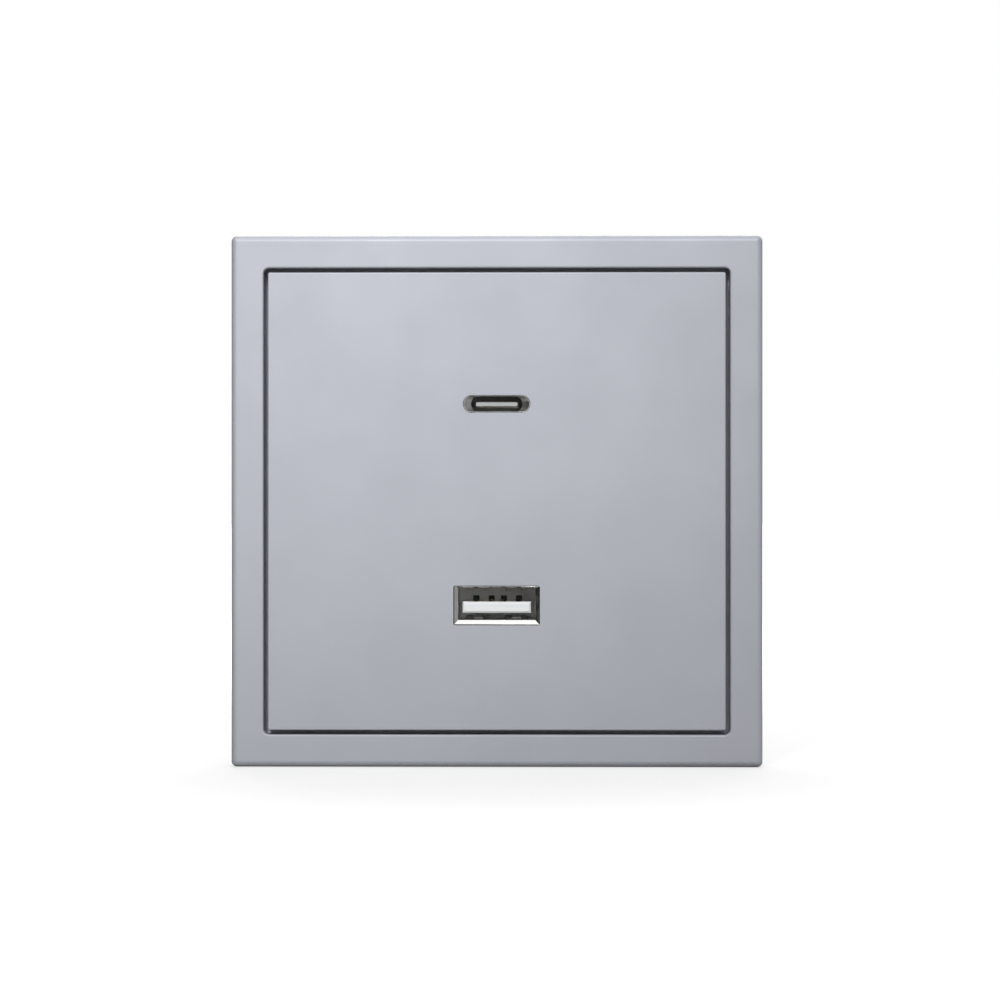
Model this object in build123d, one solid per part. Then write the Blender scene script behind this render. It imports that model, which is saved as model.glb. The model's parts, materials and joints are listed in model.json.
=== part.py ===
from build123d import *
import math
import os

# A flush wall socket with one USB-C and one USB-A charging port, for a square 86 mm wall box.
# The origin is on the wall plane, midway between the two fixing slots of the steel yoke.
# +Z is up, -Y points into the room and +X is to the right as seen from the room.
# Lengths are in millimetres. A name that ends in _y is a depth along Y.

# Trim: the outer frame and the cover that fills it
plate_side = 86.0
plate_depth = 9.0
plate_corner_radius = 0.5
plate_edge_radius = 0.55
border_width = 5.25
window_corner_radius = 0.9
window_edge_radius = 0.3
frame_face_thickness = 2.2
frame_skirt_thickness = 1.8
frame_return_thickness = 1.2
frame_rib_thickness = 1.0
frame_rib_pitch = 12.5
ledge_width = 3.2
ledge_thickness = 1.4
ledge_clearance = 0.2
reveal_gap = 0.7
cover_skin_thickness = 2.0
cover_skirt_thickness = 1.3
cover_skirt_clearance = 0.4
cover_corner_radius = 0.35
cover_edge_radius = 0.25
cover_rib_thickness = 1.0
cover_rib_depth = 0.9
cover_rib_share_x = 0.62
cover_rib_share_z = 0.82

# Snap hooks of the frame and of the cover
hook_width = 6.0
hook_thickness = 1.3
hook_barb = 0.7
hook_clearance = 0.2
hook_tip_depth = 1.5
hook_barb_land = 0.45
hook_tip_taper = 0.5
frame_hook_spread = 44.0
cover_clip_spread = 21.0
cover_clip_inset = 2.6

# Yoke: one folded steel sheet
sheet_thickness = 1.2
yoke_clearance = 1.2
yoke_height = 3.2
yoke_bend_radius = 0.6
yoke_corner_relief = 5.0
slot_spacing = 60.3
slot_width = 4.4
slot_length = 7.6
yoke_window_clearance = 0.3
bead_width = 3.0
bead_height = 0.5
bead_length = 21.0
bead_inset = 6.5

# Module housing: a front shell and a rear shell with the yoke held between them
neck_width = 48.0
neck_height = 54.0
neck_wall = 1.4
neck_corner_radius = 2.5
flange_thickness = 1.6
flange_side_lap = 1.8
flange_end_lap = 3.0
rear_wall = 1.5
rear_edge_chamfer = 1.1
shell_clearance = 0.1
module_depth = 26.1
lap_depth = 1.0
boss_radius = 2.8
boss_inset = 3.8
nose_radius = 2.1
column_wall = 1.3
well_depth = 12.8
board_post_radius = 1.5
post_spread = 36.4
post_heights = (-12.7, 12.0)
vent_width = 1.8
vent_length = 12.0
vent_pitch = 4.2
vent_count = 7
side_vent_count = 5
marking_field_width = 33.0
marking_field_height = 8.6
marking_field_depth = 0.5

# Self-tapping screws that close the housing
case_screw_core_radius = 1.15
case_screw_length = 13.5
case_screw_head_radius = 2.5
case_screw_head_height = 1.9
case_screw_head_chamfer = 0.55
case_screw_cross_length = 3.0
case_screw_cross_width = 0.6
case_screw_cross_depth = 1.1
case_screw_play = 0.05
case_screw_hole_radius = 1.6
case_screw_head_clearance = 0.35

# Port places on the cover, measured from its centre
usb_c_height = 15.75
usb_a_height = 16.85

# USB-C receptacle
c_opening_width = 8.34
c_opening_height = 2.56
c_shell_thickness = 0.3
c_aperture_width = 10.9
c_aperture_height = 2.85
c_skin_thickness = 0.9
c_mouth_recess = 0.2
c_mouth_gap = 0.08
c_mouth_edge = 0.08
c_flare_root_width = 9.3
c_collar_wall = 1.8
c_collar_gap = 0.1
c_tongue_width = 6.69
c_tongue_core = 0.6
c_tongue_corner = 0.18
c_tongue_recess = 0.8
c_root_width = 7.0
c_root_height = 1.0
c_root_recess = 3.6
c_base_depth = 6.0
c_contact_width = 0.25
c_contact_pitch = 0.5
c_contact_thickness = 0.05
c_contact_count = 12
c_contact_recess = 0.6

# USB-A receptacle
a_opening_width = 12.5
a_opening_height = 5.2
a_shell_thickness = 0.3
a_aperture_width = 14.0
a_aperture_height = 6.4
a_aperture_drop = 0.25
a_aperture_corner = 0.3
a_mouth_recess = 0.2
a_mouth_gap = 0.1
a_flare_depth = 0.75
a_flare_edge = 0.08
a_tongue_width = 11.1
a_tongue_thickness = 1.84
a_tongue_recess = 1.0
a_tongue_gap = 1.1
a_tongue_chamfer = 0.28
a_base_depth = 4.6
a_contact_places = (-3.5, -1.0, 1.0, 3.5)
a_contact_width = 1.0
a_contact_thickness = 0.25
a_contact_rise = 0.3
a_contact_bow_share = 0.3
a_groove_depth = 0.5
a_spring_places = (-3.1, 3.1)
a_spring_width = 3.6
a_spring_slit = 1.5
a_spring_length = 5.8
a_spring_rise = 4.0
a_spring_dip = 0.6
a_spring_root = 1.0
port_clearance = 0.15
tower_wall = 1.1
tower_gap = 0.2
shell_leg_width = 1.6
shell_leg_length = 2.2
board_hole_clearance = 0.15

# Circuit boards
port_board_front_y = 5.0
port_board_thickness = 1.2
port_board_margin = 0.4
main_board_front_y = 21.0
main_board_thickness = 1.2
main_board_margin = 0.5
main_board_low_z = -14.4
barrier_thickness = 0.5
barrier_margin = 0.4

# Rising-clamp mains terminals
terminal_spacing = 17.0
terminal_block_width = 29.0
terminal_block_top_z = -15.8
terminal_block_front_y = 10.8
clamp_width = 6.6
clamp_height = 5.6
clamp_side_wall = 1.0
clamp_jaw_wall = 1.2
clamp_nut_wall = 1.5
clamp_play = 0.2
clamp_travel = 3.0
terminal_bar_width = 4.2
terminal_bar_thickness = 0.8
terminal_bar_pin_width = 1.2
terminal_bar_pin_inset = 2.0
terminal_screw_radius = 1.7
terminal_screw_play = 0.05
terminal_head_radius = 3.0
terminal_head_height = 2.0
terminal_head_recess = 0.7
terminal_head_play = 0.25
terminal_head_chamfer = 0.22
terminal_slot_width = 0.9
terminal_slot_depth = 1.1
terminal_shoulder = 1.0
wire_hole_radius = 2.1
wire_lead_in = 0.5
wire_funnel_flare = 0.75
chamber_floor_thickness = 3.5

# Link between the boards: a row of square pins through a moulded collar
link_pin = 0.64
link_pitch = 2.54
link_count = 4
link_x = 9.5
link_z = 21.5
link_collar = 2.5
link_opening = 1.9

# Power supply parts that stand on the room side of the main board
lead_radius = 0.35
lead_sides = 8
lead_stub = 0.8
box_edge = 0.35
input_cap_radius = 4.0
input_cap_length = 13.0
input_cap_places = ((-17.8, 3.0), (-9.4, 3.0))
input_cap_lead_spacing = 3.5
input_cap_lead_bend = 1.2
can_shoulder = 0.4
can_bead_depth = 0.35
can_bead_height = 1.6
output_cap_radius = 3.15
output_cap_height = 8.0
output_cap_places = ((17.6, 9.5), (17.6, 1.5))
output_cap_lead_spacing = 2.5
line_cap_place = (-13.5, -9.2)
line_cap_size = (12.0, 5.0, 8.5)
line_cap_lead_spacing = 8.0
fuse_place = (9.5, -9.0)
fuse_size = (7.5, 4.0, 7.5)
fuse_lead_spacing = 5.0
varistor_place = (0.5, -9.2)
varistor_radius = 3.6
varistor_thickness = 3.2
varistor_lead_spacing = 5.0
safety_cap_place = (3.0, -3.4)
safety_cap_radius = 3.2
safety_cap_thickness = 2.4
safety_cap_lead_spacing = 4.0
disc_edge_share = 0.3
choke_place = (-10.5, 15.8)
choke_radius = 4.0
choke_height = 7.0
choke_flange = 1.05
choke_waist = 0.5
choke_lead_spacing = 5.0

# Transformer: two E cores on a bobbin
transformer_place = (4.0, 9.0)
transformer_width = 14.0
transformer_height = 13.0
transformer_pin_pitch = 4.2
transformer_pin_row_offset = 5.46
core_centre_leg = 4.2
core_side_bar = 1.8
core_end_bar = 2.25
core_depth = 5.28
core_stand = 4.6
core_joint_gap = 0.01
bobbin_flange = 1.0
bobbin_flange_depth = 9.2
bobbin_wall = 0.7
bobbin_foot_height = 3.1
bobbin_clearance = 0.1
winding_build = 0.8
winding_play = 0.1

# Chips and small parts on the wall sides of the two boards
chip_lead = 0.3
chip_lead_reach = 0.8
chip_lead_share = 0.4
bridge_chip_place = (-12.5, 1.5)
bridge_chip_size = (5.0, 4.4, 1.6)
switch_chip_place = (-3.0, 2.0)
switch_chip_size = (4.9, 3.9, 1.5)
rectifier_chip_place = (2.2, 19.2)
rectifier_chip_size = (4.9, 3.9, 1.5)
coupler_place = (9.5, -3.0)
coupler_size = (4.6, 4.4, 1.9)
charge_chip_place = (-9.0, 2.0)
charge_chip_size = (5.0, 4.0, 1.0)
inductor_place = (9.0, 1.5)
inductor_size = (7.0, 6.6, 3.0)
inductor_corner = 0.8
ceramic_places = ((-16.0, 8.0), (-13.0, 8.0), (-2.0, -4.0), (1.0, -4.0), (4.0, -6.0), (-16.0, -4.0))
ceramic_size = (2.0, 1.25, 1.2)

# Planes worked out from the sizes above
front_y = -plate_depth
skin_rear_y = front_y + cover_skin_thickness
yoke_front_y = -yoke_height
yoke_rear_y = yoke_front_y + sheet_thickness
ledge_rear_y = yoke_front_y - ledge_clearance
ledge_front_y = ledge_rear_y - ledge_thickness
flange_front_y = yoke_front_y - flange_thickness
port_board_rear_y = port_board_front_y + port_board_thickness
neck_rear_y = port_board_rear_y + lap_depth
main_board_rear_y = main_board_front_y + main_board_thickness
rear_inner_y = module_depth - rear_wall
well_floor_y = module_depth - well_depth

# Outlines worked out from the sizes above
window_side = plate_side - 2 * border_width
cover_side = window_side - 2 * reveal_gap
frame_skirt_inner = plate_side - 2 * frame_skirt_thickness
yoke_side = frame_skirt_inner - 2 * yoke_clearance
neck_inner_width = neck_width - 2 * neck_wall
neck_inner_height = neck_height - 2 * neck_wall
rear_inner_width = neck_width + 2 * shell_clearance
rear_inner_height = neck_height + 2 * shell_clearance
rear_width = rear_inner_width + 2 * rear_wall
rear_height = rear_inner_height + 2 * rear_wall
boss_x = neck_width / 2 - boss_inset
boss_z = neck_height / 2 - boss_inset
boss_places = [(x, z) for x in (-boss_x, boss_x) for z in (-boss_z, boss_z)]
well_radius = case_screw_head_radius + case_screw_head_clearance
column_radius = well_radius + column_wall

# Port places and levels worked out from the sizes above
c_z = usb_c_height
a_z = -usb_a_height + a_aperture_drop
c_mouth_y = front_y + c_skin_thickness + c_collar_gap
a_mouth_y = front_y + a_mouth_recess
c_shell_width = c_opening_width + 2 * c_shell_thickness
c_shell_height = c_opening_height + 2 * c_shell_thickness
a_shell_width = a_opening_width + 2 * a_shell_thickness
a_shell_height = a_opening_height + 2 * a_shell_thickness
a_tongue_low = -a_opening_height / 2 + a_tongue_gap
a_tongue_high = a_tongue_low + a_tongue_thickness
a_base_front_y = port_board_front_y - a_base_depth
c_base_front_y = port_board_front_y - c_base_depth

# Terminal levels worked out from the sizes above
head_top_y = module_depth - terminal_head_recess
head_under_y = head_top_y - terminal_head_height
shoulder_rear_y = head_under_y - clamp_play / 2
shoulder_front_y = shoulder_rear_y - terminal_shoulder
bar_rear_y = shoulder_front_y - clamp_play - clamp_nut_wall - clamp_travel - clamp_play
bar_front_y = bar_rear_y - terminal_bar_thickness
jaw_rear_y = bar_front_y - clamp_travel - clamp_play
jaw_front_y = jaw_rear_y - clamp_jaw_wall
nut_front_y = bar_rear_y + clamp_play
nut_rear_y = nut_front_y + clamp_nut_wall
wire_y = (bar_front_y + jaw_rear_y) / 2
block_low_z = -rear_inner_height / 2
chamber_low_z = block_low_z + chamber_floor_thickness
clamp_z = chamber_low_z + clamp_play + clamp_height / 2
chamber_high_z = clamp_z + clamp_height / 2 + clamp_play
terminal_places = (-terminal_spacing / 2, terminal_spacing / 2)


def facing(y):
    """The plane at depth y, drawn as seen from the room: across is X and up is Z."""
    return Plane(origin=(0, y, 0), x_dir=(1, 0, 0), z_dir=(0, -1, 0))


def prism(outline, y_near, y_far):
    """An outline drawn as seen from the room, given thickness between two depths."""
    return extrude(facing(y_far) * outline, amount=y_far - y_near)


def rod(radius, y_near, y_far, x=0.0, z=0.0):
    """A round bar or hole along Y."""
    return prism(Pos(x, z) * Circle(radius), y_near, y_far)


def block(width, height, y_near, y_far, x=0.0, z=0.0):
    """A square-cornered block between two depths."""
    return prism(Pos(x, z) * Rectangle(width, height), y_near, y_far)


def frame_outline(outer_side, inner_side):
    """A square ring."""
    return Rectangle(outer_side, outer_side) - Rectangle(inner_side, inner_side)


def together(solids):
    """All the solids fused into one."""
    solids = list(solids)
    return solids[0].fuse(*solids[1:]) if len(solids) > 1 else solids[0]


def snap_hook(x_inner, y_root, y_catch):
    """A hook on the +X side: an arm with an outward barb that catches behind a wall at y_catch."""
    x_outer = x_inner + hook_thickness
    x_barb = x_outer + hook_barb
    y_tip = y_catch + hook_tip_depth
    outline = Polyline(
        (x_inner, y_root),
        (x_outer, y_root),
        (x_outer, y_catch),
        (x_barb, y_catch),
        (x_barb, y_catch + hook_barb_land),
        (x_outer - hook_tip_taper, y_tip),
        (x_inner, y_tip),
        close=True,
    )
    return extrude(make_face(outline), amount=hook_width / 2, both=True)


def hook_window(x_inner, y_near, y_far):
    """The hole that a snap hook passes through, with room for it to bend inwards."""
    x_low = x_inner - hook_barb - hook_clearance
    x_high = x_inner + hook_thickness + hook_clearance
    width = hook_width + 2 * hook_clearance
    return block(x_high - x_low, width, y_near, y_far, x=(x_low + x_high) / 2)


def around(shape, spread, turns=(0, 90, 180, 270)):
    """Two copies of a shape on each of the sides that the turns name."""
    pair = [Pos(0, 0, z) * shape for z in (-spread / 2, spread / 2)]
    return [Rot(0, turn, 0) * one for turn in turns for one in pair]


# Outer frame: a moulded square bezel with a hollow back, stiffening ribs and eight hooks

frame_return_outer = window_side + 2 * frame_return_thickness
ledge_opening = window_side - 2 * ledge_width
frame_hook_x = ledge_opening / 2 + (ledge_width - hook_thickness) / 2 - hook_barb / 2


def frame_ribs():
    """Cross ribs that join the skirt to the inner wall in the frame's hollow back."""
    reach = int((window_side / 2 - frame_rib_pitch / 2) / frame_rib_pitch)
    channel_middle = (frame_skirt_inner + frame_return_outer) / 4
    channel_width = (frame_skirt_inner - frame_return_outer) / 2
    rib = Rectangle(channel_width, frame_rib_thickness)
    one_side = [Pos(channel_middle, n * frame_rib_pitch) * rib for n in range(-reach, reach + 1)]
    return [Rot(0, 0, turn) * rib for turn in (0, 90, 180, 270) for rib in one_side]


def make_outer_frame():
    outline = RectangleRounded(plate_side, plate_side, plate_corner_radius)
    body = prism(outline, front_y, 0)
    body = fillet(body.faces().sort_by(Axis.Y)[0].edges(), plate_edge_radius)
    window = RectangleRounded(window_side, window_side, window_corner_radius)
    body -= prism(window, front_y, ledge_front_y)
    mouth = [e for e in body.faces().sort_by(Axis.Y)[0].inner_wires()[0].edges()]
    body = fillet(mouth, window_edge_radius)
    body -= block(ledge_opening, ledge_opening, ledge_front_y, ledge_rear_y)
    body -= block(frame_skirt_inner, frame_skirt_inner, ledge_rear_y, 0)
    hollow = frame_outline(frame_skirt_inner, frame_return_outer)
    for rib in frame_ribs():
        hollow -= rib
    body -= prism(hollow, front_y + frame_face_thickness, ledge_rear_y)
    hooks = around(snap_hook(frame_hook_x, ledge_rear_y, yoke_rear_y), frame_hook_spread)
    return together([body, *hooks])


# Cover: a flat skin with a skirt, two port apertures, ribs behind and four clips

cover_skirt_rear_y = ledge_front_y - cover_skirt_clearance
cover_clip_x = neck_inner_height / 2 - cover_clip_inset


def c_outline(width, height):
    """The rounded outline that every part of a USB-C port has."""
    return Pos(0, c_z) * SlotOverall(width, height)


def a_aperture():
    """The USB-A aperture, which sits a little lower than the shell's middle."""
    outline = RectangleRounded(a_aperture_width, a_aperture_height, a_aperture_corner)
    return Pos(0, a_z - a_aperture_drop) * outline


def cover_ribs():
    """A shallow stiffening grid on the back of the skin."""
    reach = cover_side / 2 - cover_skirt_thickness
    rib_rear_y = skin_rear_y + cover_rib_depth
    ribs = []
    for side in (-reach, reach):
        x = side * cover_rib_share_x
        z = side * cover_rib_share_z
        ribs.append(block(cover_rib_thickness, 2 * reach, skin_rear_y, rib_rear_y, x=x))
        ribs.append(block(2 * reach, cover_rib_thickness, skin_rear_y, rib_rear_y, z=z))
    return ribs


def make_cover_plate():
    outline = RectangleRounded(cover_side, cover_side, cover_corner_radius)
    body = prism(outline, front_y, cover_skirt_rear_y)
    body = fillet(body.faces().sort_by(Axis.Y)[0].edges(), cover_edge_radius)
    inner_side = cover_side - 2 * cover_skirt_thickness
    body -= block(inner_side, inner_side, skin_rear_y, cover_skirt_rear_y)
    clip = snap_hook(cover_clip_x, skin_rear_y, yoke_front_y)
    clips = around(clip, cover_clip_spread, turns=(90, 270))
    body = together([body, *cover_ribs(), *clips])
    collar_width = c_aperture_width + c_collar_wall + 4 * c_collar_gap
    collar_height = c_aperture_height + c_collar_wall + 4 * c_collar_gap
    pocket = c_outline(collar_width, collar_height)
    body -= prism(pocket, front_y + c_skin_thickness, cover_skirt_rear_y)
    body -= prism(c_outline(c_aperture_width, c_aperture_height), front_y, skin_rear_y)
    body -= prism(a_aperture(), front_y, cover_skirt_rear_y)
    return body


# Yoke: folded zinc-plated steel with the two fixing slots, hook windows and pressed beads

yoke_window_width = neck_width + 2 * yoke_window_clearance
yoke_window_height = neck_height + 2 * yoke_window_clearance


bead_z = bead_length / 2 + bead_inset


def pressed_beads():
    """Four long stiffening beads beside the slots, raised at the front and hollow behind."""
    outline = SlotOverall(bead_length, bead_width, rotation=90)
    inner = SlotOverall(bead_length - sheet_thickness, bead_width - sheet_thickness, rotation=90)
    places = [Pos(x, z) for x in (-slot_spacing / 2, slot_spacing / 2) for z in (-bead_z, bead_z)]
    raised = [prism(place * outline, yoke_front_y - bead_height, yoke_front_y) for place in places]
    sunk = [prism(place * inner, yoke_rear_y - bead_height, yoke_rear_y) for place in places]
    return raised, sunk


def make_yoke():
    body = block(yoke_side, yoke_side, yoke_front_y, 0)
    front_edges = body.faces().sort_by(Axis.Y)[0].edges()
    body = fillet(front_edges, yoke_bend_radius + sheet_thickness)
    inner_side = yoke_side - 2 * sheet_thickness
    hollow = block(inner_side, inner_side, yoke_rear_y, 0)
    hollow = fillet(hollow.faces().sort_by(Axis.Y)[0].edges(), yoke_bend_radius)
    body -= hollow
    corner = yoke_side / 2
    for x in (-corner, corner):
        for z in (-corner, corner):
            body -= block(2 * yoke_corner_relief, 2 * yoke_corner_relief, yoke_front_y, 0, x, z)
    window = RectangleRounded(yoke_window_width, yoke_window_height, neck_corner_radius)
    body -= prism(window, yoke_front_y, yoke_rear_y)
    for x in (-slot_spacing / 2, slot_spacing / 2):
        slot = Pos(x, 0) * SlotOverall(slot_length, slot_width)
        body -= prism(slot, yoke_front_y, yoke_rear_y)
    for opening in around(hook_window(frame_hook_x, yoke_front_y, yoke_rear_y), frame_hook_spread):
        body -= opening
    raised, sunk = pressed_beads()
    body = together([body, *raised])
    for hollow in sunk:
        body -= hollow
    return body


# Front shell of the housing: flange, neck, port towers and screw bosses

flange_width = neck_width + 2 * flange_side_lap
flange_height = neck_height + 2 * flange_end_lap
tower_front_y = skin_rear_y + tower_gap


def make_front_housing():
    flange = RectangleRounded(flange_width, flange_height, neck_corner_radius)
    body = prism(flange, flange_front_y, yoke_front_y)
    neck = RectangleRounded(neck_width, neck_height, neck_corner_radius)
    inner_radius = neck_corner_radius - neck_wall
    neck -= RectangleRounded(neck_inner_width, neck_inner_height, inner_radius)
    pieces = [body, prism(neck, yoke_front_y, neck_rear_y)]
    for x, z in boss_places:
        pieces.append(rod(boss_radius, yoke_front_y, port_board_front_y, x, z))
    collar = c_outline(c_aperture_width + c_collar_wall, c_aperture_height + c_collar_wall)
    pieces.append(prism(collar, c_mouth_y, flange_front_y))
    tower_width = a_shell_width + 2 * port_clearance + 2 * tower_wall
    tower_height = a_shell_height + 2 * port_clearance + 2 * tower_wall
    pieces.append(block(tower_width, tower_height, tower_front_y, flange_front_y, z=a_z))
    body = together(pieces)
    c_hole = c_outline(c_shell_width + 2 * port_clearance, c_shell_height + 2 * port_clearance)
    body -= prism(c_hole, c_mouth_y, yoke_front_y)
    a_hole = Rectangle(a_shell_width + 2 * port_clearance, a_shell_height + 2 * port_clearance)
    body -= prism(Pos(0, a_z) * a_hole, tower_front_y, yoke_front_y)
    clip_hole = hook_window(cover_clip_x, flange_front_y, yoke_front_y)
    for opening in around(clip_hole, cover_clip_spread, turns=(90, 270)):
        body -= opening
    pilot_radius = case_screw_core_radius + case_screw_play
    for x, z in boss_places:
        body -= rod(pilot_radius, case_screw_tip_y - lap_depth / 2, port_board_front_y, x, z)
    return body


# Rear shell of the housing: a vented box with screw wells, board posts and terminal openings

case_screw_tip_y = well_floor_y - case_screw_length
post_places = [(x, z) for x in (-post_spread / 2, post_spread / 2) for z in post_heights]


def vents(y_middle):
    """Cooling slots through the top wall and through both side walls."""
    cuts = []
    for n in range(vent_count):
        x = (n - (vent_count - 1) / 2) * vent_pitch
        slot = Pos(x, y_middle) * Rectangle(vent_width, vent_length)
        cuts.append(Pos(0, 0, rear_inner_height / 2 - rear_wall) * extrude(slot, amount=3 * rear_wall))
    side_plane = Plane(origin=(0, y_middle, 0), x_dir=(0, 1, 0), z_dir=(1, 0, 0))
    for n in range(side_vent_count):
        z = (n - (side_vent_count - 1) / 2) * vent_pitch
        slot = side_plane * (Pos(0, z) * Rectangle(vent_length, vent_width))
        for side in (-1, 1):
            middle = side * (rear_inner_width + rear_wall) / 2
            cuts.append(Pos(middle, 0, 0) * extrude(slot, amount=rear_wall, both=True))
    return cuts


def make_rear_housing():
    outer_radius = neck_corner_radius + rear_wall
    outline = RectangleRounded(rear_width, rear_height, outer_radius)
    body = prism(outline, yoke_rear_y, module_depth)
    body = chamfer(body.faces().sort_by(Axis.Y)[-1].edges(), rear_edge_chamfer)
    hollow = RectangleRounded(rear_inner_width, rear_inner_height, neck_corner_radius + shell_clearance)
    body -= prism(hollow, yoke_rear_y, rear_inner_y)
    limit = prism(outline, yoke_rear_y, module_depth)
    columns = [rod(column_radius, neck_rear_y, rear_inner_y, x, z) & limit for x, z in boss_places]
    noses = [rod(nose_radius, port_board_rear_y, neck_rear_y, x, z) for x, z in boss_places]
    posts = [rod(board_post_radius, main_board_rear_y, rear_inner_y, x, z) for x, z in post_places]
    body = together([body, *columns, *noses, *posts])
    for x, z in boss_places:
        body -= rod(well_radius, well_floor_y, module_depth, x, z)
        body -= rod(case_screw_hole_radius, port_board_rear_y, well_floor_y, x, z)
    vent_middle_y = (neck_rear_y + rear_inner_y) / 2
    for cut in vents(vent_middle_y):
        body -= cut
    field = RectangleRounded(marking_field_width, marking_field_height, neck_corner_radius)
    body -= prism(Pos(0, clamp_z) * field, module_depth - marking_field_depth, module_depth)
    for x in terminal_places:
        body -= rod(terminal_head_radius + terminal_head_play, rear_inner_y, module_depth, x, clamp_z)
        body -= wire_opening(x)
    return body


def wire_opening(x):
    """The countersunk hole in the bottom wall where a mains conductor enters."""
    inner_radius = wire_hole_radius + wire_lead_in
    funnel = Cone(inner_radius + wire_funnel_flare, inner_radius, rear_wall)
    return Pos(x, wire_y, -(rear_height - rear_wall) / 2) * funnel


# Self-tapping screws

def make_case_screws():
    screws = []
    for x, z in boss_places:
        shank = rod(case_screw_core_radius, case_screw_tip_y, well_floor_y, x, z)
        head = rod(case_screw_head_radius, well_floor_y, well_floor_y + case_screw_head_height, x, z)
        head = chamfer(head.faces().sort_by(Axis.Y)[-1].edges(), case_screw_head_chamfer)
        arm = Rectangle(case_screw_cross_length, case_screw_cross_width)
        cross = Pos(x, z) * (arm + Rot(0, 0, 90) * arm)
        recess_y = well_floor_y + case_screw_head_height - case_screw_cross_depth
        screws.append(shank + head - prism(cross, recess_y, module_depth))
    return Compound(screws)


# Boards

def make_port_board():
    width = neck_inner_width - 2 * port_board_margin
    height = neck_inner_height - 2 * port_board_margin
    board = RectangleRounded(width, height, neck_corner_radius - neck_wall)
    for x, z in boss_places:
        board -= Pos(x, z) * Circle(case_screw_hole_radius)
    for x, z, leg_width, leg_height in shell_legs():
        hole = Rectangle(leg_width + 2 * board_hole_clearance, leg_height + 2 * board_hole_clearance)
        board -= Pos(x, z) * hole
    for x, z in link_places:
        board -= Pos(x, z) * Rectangle(link_hole, link_hole)
    pin_z = a_z + a_tongue_high - a_groove_depth + a_contact_thickness / 2
    for x in a_contact_places:
        board -= Pos(x, pin_z) * Rectangle(a_contact_width, a_contact_thickness + 2 * board_hole_clearance)
    return prism(board, port_board_front_y, port_board_rear_y)


def make_main_board():
    width = rear_inner_width - 2 * main_board_margin
    high_z = rear_inner_height / 2 - main_board_margin
    height = high_z - main_board_low_z
    board = Pos(0, (high_z + main_board_low_z) / 2) * Rectangle(width, height)
    for x, z in boss_places:
        if z > 0:
            notch = column_radius + main_board_margin
            board -= Pos(x, z) * Circle(notch)
            board -= Pos(x, z + notch) * Rectangle(2 * notch, 2 * notch)
            board -= Pos(x + math.copysign(notch, x), z) * Rectangle(2 * notch, 2 * notch)
    for x, z in link_places:
        board -= Pos(x, z) * Rectangle(link_hole, link_hole)
    for x in terminal_places:
        hole = Rectangle(terminal_bar_pin_width + 2 * board_hole_clearance, bar_hole_height)
        board -= Pos(x, bar_pin_z) * hole
    for x, z in lead_places():
        board -= lead_outline(x, z, lead_radius + board_hole_clearance)
    return prism(board, main_board_front_y, main_board_rear_y)


def make_barrier():
    width = rear_inner_width - 2 * barrier_margin
    height = rear_inner_height - 2 * barrier_margin
    sheet = Rectangle(width, height)
    for x, z in boss_places:
        cut = column_radius + barrier_margin
        sheet -= Pos(x, z) * Circle(cut)
        sheet -= Pos(x, z + math.copysign(cut, z)) * Rectangle(2 * cut, 2 * cut)
        sheet -= Pos(x + math.copysign(cut, x), z) * Rectangle(2 * cut, 2 * cut)
    span = link_pitch * (link_count - 1) + link_opening
    sheet -= Pos(link_x, link_z) * Rectangle(span, link_opening)
    return prism(sheet, terminal_block_front_y - barrier_thickness, terminal_block_front_y)


# Pins that carry the low-voltage output from the main board to the port board

link_hole = link_pin + 2 * board_hole_clearance
link_places = [(link_x + (n - (link_count - 1) / 2) * link_pitch, link_z) for n in range(link_count)]


def make_link_pins():
    near_y = port_board_front_y - link_pin
    far_y = main_board_rear_y + link_pin
    return Compound([block(link_pin, link_pin, near_y, far_y, x, z) for x, z in link_places])


def make_link_collar():
    collar = Pos(link_x, link_z) * Rectangle(link_count * link_pitch, link_collar)
    for x, z in link_places:
        collar -= Pos(x, z) * Rectangle(link_pin, link_pin)
    return prism(collar, main_board_front_y - link_collar, main_board_front_y)


# USB-A receptacle: folded shell, white insulator and four bowed contacts

def shell_legs():
    """The legs of both receptacle shells: x, z, width and height of each where it meets the board."""
    legs = []
    for x in (-1, 1):
        middle_x = x * (a_shell_width - a_shell_thickness) / 2
        legs.append((middle_x, a_z, a_shell_thickness, shell_leg_width))
    for z in (-1, 1):
        middle_z = c_z + z * (c_shell_height - c_shell_thickness) / 2
        legs.append((0.0, middle_z, shell_leg_width, c_shell_thickness))
    return legs


def make_legs(places):
    far_y = port_board_front_y + shell_leg_length
    return [block(width, height, port_board_front_y, far_y, x, z) for x, z, width, height in places]


def a_flare():
    """The mouth of the USB-A shell, where the four walls splay out to the aperture."""
    inner = Pos(0, a_z) * Rectangle(a_opening_width, a_opening_height)
    outer = Pos(0, a_z) * Rectangle(a_shell_width, a_shell_height)
    mouth_drop = Pos(0, a_z - a_aperture_drop)
    mouth_width = a_aperture_width - 2 * a_mouth_gap
    mouth_height = a_aperture_height - 2 * a_mouth_gap
    wide = mouth_drop * Rectangle(mouth_width, mouth_height)
    edge = 2 * a_flare_edge
    wide_inner = mouth_drop * Rectangle(mouth_width - edge, mouth_height - edge)
    far_y = a_mouth_y + a_flare_depth
    solid = loft([facing(a_mouth_y) * wide, facing(far_y) * outer])
    hole = loft([facing(a_mouth_y) * wide_inner, facing(far_y) * inner])
    return solid - hole


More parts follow.
